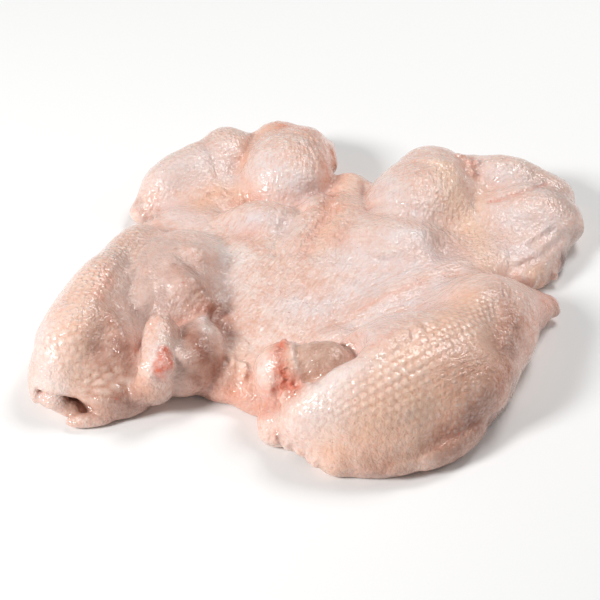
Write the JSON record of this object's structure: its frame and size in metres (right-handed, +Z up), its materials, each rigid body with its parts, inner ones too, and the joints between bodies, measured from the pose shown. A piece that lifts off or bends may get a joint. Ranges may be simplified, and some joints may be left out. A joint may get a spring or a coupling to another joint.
{
  "type": "whole raw chicken",
  "caption": "Whole raw chicken cut open along the breastbone and spread flat, skin side up, with its legs folded and its wings to the sides.",
  "frame": {"origin": "on the flat underside, below the middle of the bird's outline", "axes": "+Z up through the back's skin, +Y towards the neck stub, +X towards the right half of the breast"},
  "size_m": [0.303, 0.2818, 0.0521],
  "materials": {
    "skin": "wet raw skin, pink to cream, with soft strong highlights"
  },
  "bodies": {
    "root": {"raw_chicken": "skin"}
  },
  "joints": []
}
